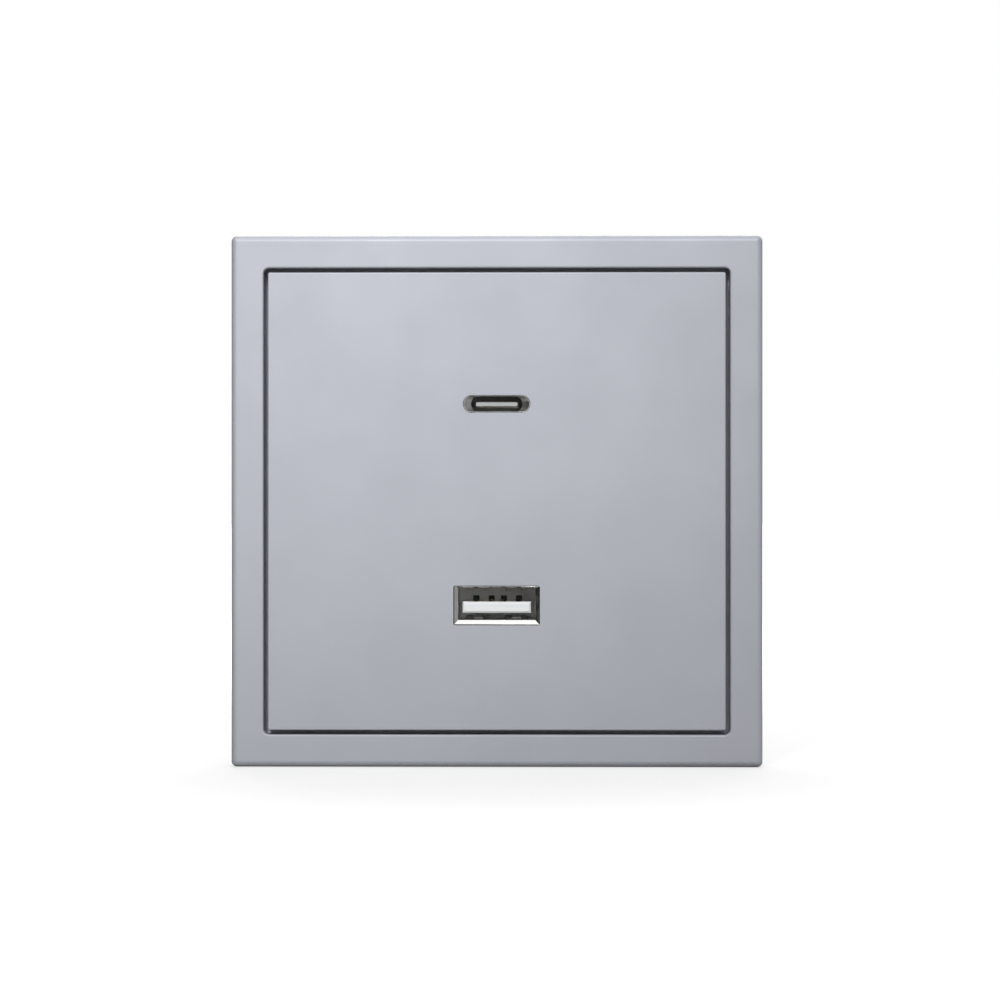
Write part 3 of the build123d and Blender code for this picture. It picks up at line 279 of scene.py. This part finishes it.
charcoal = moulding("charcoal_moulding", (0.052, 0.055, 0.060), 0.52, grain=0.16, depth=0.02)
eased("housing_rear", "rear_housing", charcoal, edge=0.15 * MM)
letter_height = 4.4 * MM
letter_relief = 0.4 * MM
letter_bevel = 0.05 * MM
letter_weld = 0.001 * MM
letter_offset = 5.6 * MM
field_depth = 0.5 * MM
field_floor_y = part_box("rear_housing")[1].y - field_depth
facing_rear = Matrix(((-1, 0, 0), (0, 0, 1), (0, 1, 0))).to_4x4()
for letter, pole in (("L", "live"), ("N", "neutral")):
    low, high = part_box(f"{pole}_screw")
    middle = (low + high) / 2
    data = bpy.data.curves.new(f"{pole}_letter", "FONT")
    data.body = letter
    data.size = letter_height
    data.align_x = "CENTER"
    data.align_y = "CENTER"
    data.extrude = letter_relief / 2
    data.bevel_depth = letter_bevel
    data.materials.append(charcoal)
    shape = link(f"{pole}_letter_shape", data)
    shown = shape.evaluated_get(bpy.context.evaluated_depsgraph_get())
    mesh = bpy.data.meshes.new_from_object(shown)
    bpy.data.objects.remove(shape)
    work = bmesh.new()
    work.from_mesh(mesh)
    bmesh.ops.remove_doubles(work, verts=work.verts, dist=letter_weld)
    work.to_mesh(mesh)
    work.free()
    x = middle.x + math.copysign(letter_offset, middle.x)
    centre = (x, field_floor_y + letter_relief / 2, middle.z)
    mesh.transform(Matrix.Translation(centre) @ facing_rear)
    seat(link(f"{pole}_letter", mesh), "rear_housing")


# Front housing
# The black inner shell, moulded in one: a flange in front of the yoke, a neck through its window,
# and a tower and a collar that guide the two ports to the cover.

black = moulding("black_moulding", (0.016, 0.016, 0.017), 0.48, grain=0.14, depth=0.012)
eased("housing_front", "front_housing", black, edge=0.12 * MM)


# Case screws
# Four self-tapping screws of zinc-plated steel, with cross recesses. They are driven from the rear
# wells into the front housing, and so close the two shells over the yoke.

screw_steel = plated("screw_zinc", (0.58, 0.58, 0.55), 0.34, streaks=(900, 300, 900))
eased("case_screw_set", "case_screws", screw_steel, edge=0.06 * MM)


def growing_tree(name, inputs):
    """A geometry node tree with named inputs, and its first and last nodes."""
    tree = bpy.data.node_groups.new(name, "GeometryNodeTree")
    tree.interface.new_socket("Geometry", in_out="OUTPUT", socket_type="NodeSocketGeometry")
    tree.interface.new_socket("Geometry", in_out="INPUT", socket_type="NodeSocketGeometry")
    for label, kind in inputs.items():
        tree.interface.new_socket(label, in_out="INPUT", socket_type=f"NodeSocket{kind}")
    return tree, tree.nodes.new("NodeGroupInput"), tree.nodes.new("NodeGroupOutput")


def set_on_points(tree, start, end, shape, scale=(1.0, 1.0, 1.0)):
    """The end of a tree: the shape on every point, facing +Y, made real and given its material."""
    facing_y = (-math.pi / 2, 0.0, 0.0)
    placed = add_node(tree, "GeometryNodeInstanceOnPoints", Points=start.outputs["Geometry"],
                      Instance=shape, Rotation=facing_y, Scale=scale)
    real = add_node(tree, "GeometryNodeRealizeInstances", Geometry=placed.outputs[0])
    painted = add_node(tree, "GeometryNodeSetMaterial", Geometry=real.outputs[0],
                       Material=start.outputs["Material"])
    tree.links.new(painted.outputs[0], end.inputs["Geometry"])


def grown(name, node, places, tree, **values):
    """A piece grown by a tree on these places, which rides with this solid."""
    mesh = bpy.data.meshes.new(name)
    mesh.from_pydata(places, [], [])
    piece = link(name, mesh)
    grow = piece.modifiers.new("grow", "NODES")
    grow.node_group = tree
    for item in tree.interface.items_tree:
        key = item.name.lower().replace(" ", "_")
        if item.in_out == "INPUT" and key in values:
            grow[item.identifier] = values[key]
    make_plain(piece)
    seat(piece, node)


def thread_tree():
    """A helix with a three-sided ridge that climbs towards +Y from every point."""
    inputs = {"Crest Radius": "Float", "Ridge": "Float", "Turns": "Float", "Length": "Float",
              "Material": "Material"}
    tree, start, end = growing_tree("screw_thread", inputs)
    given = start.outputs
    middle = computed(tree, "SUBTRACT", given["Crest Radius"], given["Ridge"])
    helix = add_node(tree, "GeometryNodeCurveSpiral", Resolution=20, Start_Radius=middle,
                     End_Radius=middle, Rotations=given["Turns"], Height=given["Length"])
    profile = add_node(tree, "GeometryNodeCurvePrimitiveCircle", Resolution=3,
                       Radius=given["Ridge"])
    ridge = add_node(tree, "GeometryNodeCurveToMesh", Curve=helix.outputs["Curve"],
                     Profile_Curve=profile.outputs["Curve"], Fill_Caps=True)
    set_on_points(tree, start, end, ridge.outputs["Mesh"])
    return tree


threads = thread_tree()
head_radius = 2.5 * MM
head_height = 1.9 * MM
case_pitch = 1.3 * MM
low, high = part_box("case_screws")
tip_y = low.y + case_pitch
case_thread = high.y - head_height - tip_y - 1.5 * case_pitch
columns = (low.x + head_radius, high.x - head_radius)
rows = (low.z + head_radius, high.z - head_radius)
grown("case_screw_threads", "case_screws", [(x, tip_y, z) for x in columns for z in rows], threads,
      crest_radius=1.5 * MM, ridge=0.34 * MM, turns=case_thread / case_pitch, length=case_thread,
      material=screw_steel)


# Boards
# Two laminate boards under green solder mask, with a sheet of pale insulating film between them.
# Tinned pads and cones of solder hold the leads that come through.

def copper_tracks():
    """Where copper lies under a solder mask, as one: rows of straight tracks, and filled areas."""
    group, start, end = group_of("copper_tracks", {"Unit": 4.0, "Fill Size": 11.0}, ["Copper"])
    place = add_node(group, "ShaderNodeTexCoord").outputs["Object"]
    on_the_board = (math.radians(90), 0.0, 0.0)
    flat = add_node(group, "ShaderNodeMapping", Vector=place, Rotation=on_the_board).outputs[0]
    unit = computed(group, "DIVIDE", 1 / MM, start.outputs["Unit"])
    rows = add_node(group, "ShaderNodeTexBrick", offset=0.37, offset_frequency=3, squash=0.55,
                    squash_frequency=4, Vector=flat, Scale=unit, Mortar_Size=0.045,
                    Mortar_Smooth=0.0, Brick_Width=2.3, Row_Height=0.42)
    fill = computed(group, "DIVIDE", 1 / MM, start.outputs["Fill Size"])
    areas = add_node(group, "ShaderNodeTexVoronoi", distance="CHEBYCHEV", Vector=flat, Scale=fill)
    bare_share = 0.55
    filled = computed(group, "GREATER_THAN", areas.outputs["Color"], bare_share)
    copper = computed(group, "MAXIMUM", rows.outputs["Fac"], filled)
    group.links.new(copper, end.inputs["Copper"])
    return group


mask_green = moulding("solder_mask", (0.012, 0.115, 0.045), 0.28, grain=0.5, depth=0.004)
green_over_copper = (0.024, 0.165, 0.062)
tree = mask_green.node_tree
tracks = add_node(tree, "ShaderNodeGroup", node_tree=copper_tracks())
base = tree.nodes["Principled BSDF"].inputs["Base Color"]
green_over_laminate = base.links[0].from_socket
tree.links.new(mixed(tree, tracks.outputs["Copper"], green_over_laminate, green_over_copper), base)
eased("board_front", "port_board", mask_green, edge=0.05 * MM)
eased("board_rear", "main_board", mask_green, edge=0.05 * MM)
film = moulding("barrier_film", (0.72, 0.70, 0.62), 0.35, grain=0.4, depth=0.002)
eased("barrier", "barrier_sheet", film, edge=0.05 * MM)
tinned = plated("tinned_wire", (0.72, 0.72, 0.71), 0.3, streaks=(400, 400, 400))


def solder_tree():
    """A round pad with a cone of solder on it, facing +Y, at every point."""
    inputs = {"Pad Radius": "Float", "Cone Radius": "Float", "Lead Radius": "Float",
              "Height": "Float", "Seed": "Int", "Material": "Material"}
    tree, start, end = growing_tree("solder_joint", inputs)
    given = start.outputs
    cone = add_node(tree, "GeometryNodeMeshCone", Vertices=16, Radius_Bottom=given["Cone Radius"],
                    Radius_Top=given["Lead Radius"], Depth=given["Height"])
    pad_thickness = 0.08 * MM
    pad = add_node(tree, "GeometryNodeMeshCylinder", Vertices=20, Depth=pad_thickness,
                   Radius=given["Pad Radius"])
    both = add_node(tree, "GeometryNodeJoinGeometry")
    for part in (cone, pad):
        tree.links.new(part.outputs["Mesh"], both.inputs[0])
    size = add_node(tree, "FunctionNodeRandomValue", data_type="FLOAT", Seed=given["Seed"])
    least, most = size.inputs[2], size.inputs[3]
    least.default_value = 1.0
    most.default_value = 1.12
    set_on_points(tree, start, end, both.outputs[0], scale=size.outputs[1])
    return tree


lead_span = 1.6 * MM
end_depth = 0.02 * MM


def lead_ends(names):
    """The middle of every lead end of these solids, where they reach furthest back."""
    middles = []
    for name in names:
        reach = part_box(name)[1].y
        groups = []
        for vert in nodes[name].data.vertices:
            if abs(vert.co.y - reach) > end_depth:
                continue
            near = [group for group in groups if (group[0] - vert.co).length < lead_span]
            if near:
                near[0].append(vert.co.copy())
            else:
                groups.append([vert.co.copy()])
        middles += [sum(group, Vector()) / len(group) for group in groups]
    return middles


solder = solder_tree()
through_main = ("transformer_pins", "input_capacitors", "output_capacitors", "line_capacitor",
                "fuse", "varistor", "safety_capacitor", "line_choke", "live_bar", "neutral_bar",
                "link_pins")
for name, node, names in (
    ("solder_rear", "main_board", through_main),
    ("solder_front", "port_board", ("usb_a_shell", "usb_c_shell")),
):
    face_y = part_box(node)[1].y
    grown(name, node, [(end.x, face_y, end.z) for end in lead_ends(names)], solder,
          pad_radius=1.0 * MM, cone_radius=0.85 * MM, lead_radius=0.42 * MM, height=0.84 * MM,
          seed=7, material=tinned)


# Terminals
# Each pole has a stamped brass bar, a clamp folded from zinc-plated steel and a screw with a
# slotted head, in one block of moulded nylon. The screw draws the clamp along, and the clamp grips
# the wire against the bar.

nylon = moulding("nylon", (0.60, 0.59, 0.53), 0.42, grain=0.3, depth=0.008)
eased("terminal_nest", "terminal_block", nylon, edge=0.15 * MM)
brass = plated("stamped_brass", (0.72, 0.50, 0.20), 0.26, streaks=(2200, 2200, 150))
clamp_steel = plated("clamp_zinc", (0.60, 0.61, 0.62), 0.32, streaks=(300, 2200, 2200))
terminal_pitch = 0.6 * MM
shank_radius = 1.7 * MM
core_radius = 1.42 * MM
terminal_head = 2.0 * MM


def thinned(axis, seat_y):
    """A change of shape that moves a screw's shank in to the core of its thread."""
    shank_reach = shank_radius * 1.05
    shank_end = seat_y + 0.01 * MM

    def to_core(place):
        out = Vector((place.x - axis.x, 0.0, place.z - axis.z))
        if out.length > shank_reach or place.y > shank_end:
            return place
        return Vector((axis.x, place.y, axis.z)) + out * core_radius / shank_radius

    return to_core


for pole in ("live", "neutral"):
    eased(f"{pole}_contact_bar", f"{pole}_bar", brass, edge=0.05 * MM)
    eased(f"{pole}_cage", f"{pole}_clamp", clamp_steel, edge=0.08 * MM)
    low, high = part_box(f"{pole}_screw")
    axis = (low + high) / 2
    seat_y = high.y - terminal_head
    eased(f"{pole}_cheese_head", f"{pole}_screw", screw_steel, edge=0.06 * MM,
          reshape=thinned(axis, seat_y))
    first_turn = (axis.x, low.y + terminal_pitch / 2, axis.z)
    thread_length = seat_y - low.y - terminal_pitch
    grown(f"{pole}_screw_thread", f"{pole}_screw", [first_turn], threads,
          crest_radius=shank_radius, ridge=0.2 * MM, turns=thread_length / terminal_pitch,
          length=thread_length, material=screw_steel)


# Power supply parts
# Transformer, capacitors, fuse, choke and chips, each soldered to its board by its leads. They are
# bought in, and each shows its solid in the material of its own case.

def clad(node, material):
    """The solid itself is shown, in this material."""
    nodes[node].data.materials.clear()
    nodes[node].data.materials.append(material)


ferrite = moulding("ferrite", (0.045, 0.045, 0.048), 0.6, grain=0.12, depth=0.015)
tape = moulding("winding_tape", (0.72, 0.50, 0.04), 0.32, grain=0.8, depth=0.01)
sleeve = moulding("capacitor_sleeve", (0.02, 0.024, 0.045), 0.25, grain=0.8, depth=0.003)
can = plated("capacitor_can", (0.75, 0.75, 0.77), 0.3, streaks=(300, 300, 300))
yellow_box = moulding("film_capacitor_box", (0.66, 0.47, 0.06), 0.4, grain=0.3, depth=0.006)
black_box = moulding("fuse_box", (0.03, 0.03, 0.03), 0.4, grain=0.25, depth=0.008)
dipped_blue = moulding("dipped_coating", (0.03, 0.12, 0.38), 0.3, grain=1.2, depth=0.03)
epoxy = moulding("chip_epoxy", (0.022, 0.022, 0.024), 0.45, grain=0.1, depth=0.01)
chip_ceramic = moulding("chip_ceramic", (0.50, 0.36, 0.24), 0.5, grain=0.2, depth=0.004)
gold = plated("gold_plating", (0.86, 0.62, 0.26), 0.22, streaks=(900, 100, 900))
for node, material in (
    ("link_pins", gold), ("link_collar", black), ("transformer_core", ferrite),
    ("transformer_bobbin", black), ("transformer_winding", tape), ("transformer_pins", tinned),
    ("input_capacitors", sleeve), ("output_capacitors", can), ("line_capacitor", yellow_box),
    ("fuse", black_box), ("varistor", dipped_blue), ("safety_capacitor", dipped_blue),
    ("line_choke", ferrite), ("bridge_rectifier", epoxy), ("power_switch_chip", epoxy),
    ("output_rectifier_chip", epoxy), ("optocoupler", epoxy), ("charge_controller_chip", epoxy),
    ("output_inductor", ferrite), ("ceramic_capacitors", chip_ceramic),
):
    clad(node, material)


# USB-C port
# A shell drawn from steel with a satin nickel plating and a flared mouth. The light grey insulator
# inside it carries gold-plated contacts on its tongue.

satin_nickel = plated("satin_nickel", (0.66, 0.66, 0.65), 0.33, streaks=(1500, 90, 1500),
                      depth=0.0003)
grey_moulding = moulding("grey_moulding", (0.46, 0.475, 0.475), 0.4, grain=0.2, depth=0.004)
eased("port_c_shell", "usb_c_shell", satin_nickel, edge=0.08 * MM)
eased("port_c_tongue", "usb_c_insulator", grey_moulding, edge=0.04 * MM)
clad("usb_c_contacts", gold)


# USB-A port
# A shell folded from nickel-plated steel, with a flared mouth and springs cut from its walls. The
# white insulator inside it carries four gold-plated contacts.

nickel = plated("nickel_plating", (0.92, 0.91, 0.89), 0.18, streaks=(1500, 90, 1500), depth=0.0003)
white_moulding = moulding("white_moulding", (0.84, 0.85, 0.86), 0.36, grain=0.3, depth=0.004)
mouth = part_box("usb_a_shell")[0].y
flare_depth = 0.75 * MM
rolled_depth = 0.35 * MM


def rolled_flare(place):
    """The place on the shell, moved forward at the flare's root, so that the flare lies flatter."""
    at_root = abs(place.y - mouth - flare_depth) < 0.02 * MM
    return Vector((place.x, mouth + rolled_depth, place.z)) if at_root else place


eased("port_a_shell", "usb_a_shell", nickel, edge=0.05 * MM, reshape=rolled_flare)
eased("port_a_tongue", "usb_a_insulator", white_moulding, edge=0.06 * MM)
clad("usb_a_contacts", gold)


# Cover and bezel
# Two mouldings in one satin metallic paint, silver-grey and slightly blue. The bezel's eight hooks
# snap into the yoke, and the cover clips into the bezel with a narrow groove all round.

silver = moulding("silver_paint", (0.46, 0.475, 0.52), 0.58, grain=0.07, depth=0.004,
                  variation=0.015)
silver.node_tree.nodes["Principled BSDF"].inputs["Metallic"].default_value = 0.25
eased("cover", "cover_plate", silver, edge=0.1 * MM)
bezel_low, bezel_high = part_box("outer_frame")
solid_edge = 0.55 * MM
painted_edge = 1.0 * MM


def softer_edge(place):
    """The place on the bezel, moved in where the outer front edge is rounded further."""
    slack = 0.01 * MM
    growth = painted_edge / solid_edge
    across = (place.x, place.z)
    near = bezel_low.y + solid_edge - place.y
    away = [abs(c) - (bezel_high.x - solid_edge) for c in across]
    if near < -slack or max(away) < -slack:
        return place
    x, z = (
        math.copysign(bezel_high.x - painted_edge + max(0.0, a) * growth, c) if a > -slack else c
        for a, c in zip(away, across)
    )
    return Vector((x, bezel_low.y + painted_edge - near * growth, z))


eased("bezel", "outer_frame", silver, edge=0.1 * MM, reshape=softer_edge)


# Studio
# A pale floor just under the bezel and a white surround. A soft lamp above and to the left falls
# off towards the far corner, and cards and dark flags shade the edges and the inside of the ports.

scene = bpy.context.scene
scene.view_settings.view_transform = "Standard"


def card(name, corners, material):
    """A flat sheet of the studio, which is not part of the object."""
    mesh = bpy.data.meshes.new(name)
    mesh.from_pydata(corners, [], [(0, 1, 2, 3)])
    mesh.materials.append(material)
    link(name, mesh)


def any_ray(tree, *rays):
    """One where the ray is of one of these kinds."""
    path = add_node(tree, "ShaderNodeLightPath")
    total = path.outputs[rays[0]]
    for ray in rays[1:]:
        total = computed(tree, "MAXIMUM", total, path.outputs[ray])
    return total


# The floor is grey under the lamps. It glows towards white with the distance from a point just
# behind the object, and only where the camera, clear pieces or shiny pieces see it. Where the
# camera sees it, the glow is weakest round the object and behind it, so the floor there is darker:
# a painted shadow, on top of the floor's own shadow from the lamps.
floor_z = bezel_low.z - 0.1 * MM
floor_half = 6.0
floor_paper, tree, shader = blank_material("floor_paper", (0.36, 0.36, 0.36), 1.0, specular=0.0)
shader.inputs["Emission Color"].default_value = (1.0, 1.0, 1.0, 1.0)
reach = add_node(tree, "ShaderNodeVectorMath", operation="DISTANCE")
feed(tree, reach.inputs[0], add_node(tree, "ShaderNodeTexCoord").outputs["Object"])
# the middle of the painted shadow on the floor, 50 mm behind the plate
feed(tree, reach.inputs[1], (0.0, 0.05, floor_z))
glow_with_painted_shadow = []
for rays, start, stop, least, most in (
    (("Is Camera Ray", "Is Transmission Ray"), 0.06, 0.28, 0.63, 1.0),
    (("Is Glossy Ray",), 0.80, 1.60, 0.0, 1.0),
):
    white = spread(tree, reach.outputs["Value"], least, most, start, stop, curve="SMOOTHSTEP")
    glow_with_painted_shadow.append(computed(tree, "MULTIPLY", white, any_ray(tree, *rays)))
tree.links.new(computed(tree, "ADD", *glow_with_painted_shadow), shader.inputs["Emission Strength"])
quarters = ((-1, -1), (1, -1), (1, 1), (-1, 1))
card("floor", [(x * floor_half, y * floor_half, floor_z) for x, y in quarters], floor_paper)


def cloth(name, grey, *unseen_by):
    """A matt cloth that the camera, the lamps and these kinds of ray do not see."""
    material, tree, shader = blank_material(name, (grey, grey, grey), 1.0, specular=0.0)
    unseen = any_ray(tree, "Is Camera Ray", "Is Shadow Ray", *unseen_by)
    clear = add_node(tree, "ShaderNodeBsdfTransparent")
    passed = add_node(tree, "ShaderNodeMixShader")
    for socket, value in zip(passed.inputs, (unseen, shader.outputs[0], clear.outputs[0])):
        tree.links.new(value, socket)
    tree.links.new(passed.outputs[0], tree.nodes["Material Output"].inputs["Surface"])
    return material


near, far, left, right, top = -0.75, 0.60, -0.50, 0.80, 1.2
for name, grey, start, end, height, unseen_by in (
    ("front_card", 0.60, (left, near), (right, near), 0.78, ()),
    ("left_flag", 0.02, (left, far), (left, near), top, ()),
    ("right_card", 0.45, (right, far), (right, near), top, ()),
    ("port_flag", 0.02, (-0.15, -0.02), (-0.15, -0.26), 0.10, ("Is Diffuse Ray",)),
):
    corners = [(*start, floor_z), (*end, floor_z), (*end, height), (*start, height)]
    card(name, corners, cloth(f"{name}_cloth", grey, *unseen_by))

world = bpy.data.worlds.new("studio")
scene.world = world
world.use_nodes = True
tree = world.node_tree
surround = tree.nodes["Background"]
surround.inputs["Strength"].default_value = 1.0
seen = any_ray(tree, "Is Camera Ray", "Is Glossy Ray", "Is Transmission Ray")
white = mixed(tree, seen, (0.95, 0.95, 0.96), (1.0, 1.0, 1.0))
tree.links.new(white, surround.inputs["Color"])


def facing(place, aim):
    """The turn that points a lamp or a camera at place towards aim."""
    return (Vector(aim) - Vector(place)).to_track_quat("-Z", "Y").to_euler()


def lamp(name, kind, place, aim, watts, **values):
    """A lamp at place that faces aim."""
    data = bpy.data.lights.new(name, kind)
    data.energy = watts
    for key, value in values.items():
        setattr(data, key, value)
    made = link(name, data)
    made.location = place
    made.rotation_euler = facing(place, aim)


lamp("key", "SPOT", (-0.10, -0.60, 0.35), (-0.035, -0.009, 0.054), 11.1,
     spot_size=math.radians(21.9), spot_blend=1.0, shadow_soft_size=0.04)
lamp("fill", "AREA", (0.05, -0.90, 0.50), (0, 0, 0), 3.2, size=0.50)
lamp("low", "AREA", (0.24, -0.98, 0.0), (0, 0, 0), 0.25, size=0.25)
lamp("back", "AREA", (0.0, 0.60, 0.40), (0, 0, 0), 3.0, size=0.50)

# The camera stands a little to the right of the plate's middle, and the picture is 161.7 mm wide at
# the plate's face.
view_width = 161.7 * MM
distance = 0.60
plate_middle_px = (496.6, 501.3)
picture_px = 1000
turn = math.radians(1.0)
camera_data = bpy.data.cameras.new("camera")
camera_data.sensor_width = 36.0
camera_data.lens = camera_data.sensor_width * distance / view_width
camera = link("camera", camera_data)
px = view_width / picture_px
aim_x = (picture_px / 2 - plate_middle_px[0]) * px
aim_z = (plate_middle_px[1] - picture_px / 2) * px
aim = Vector((aim_x, bezel_low.y, aim_z))
camera.location = aim + distance * Vector((math.sin(turn), -math.cos(turn), 0.0))
camera.rotation_euler = facing(camera.location, aim)
scene.camera = camera
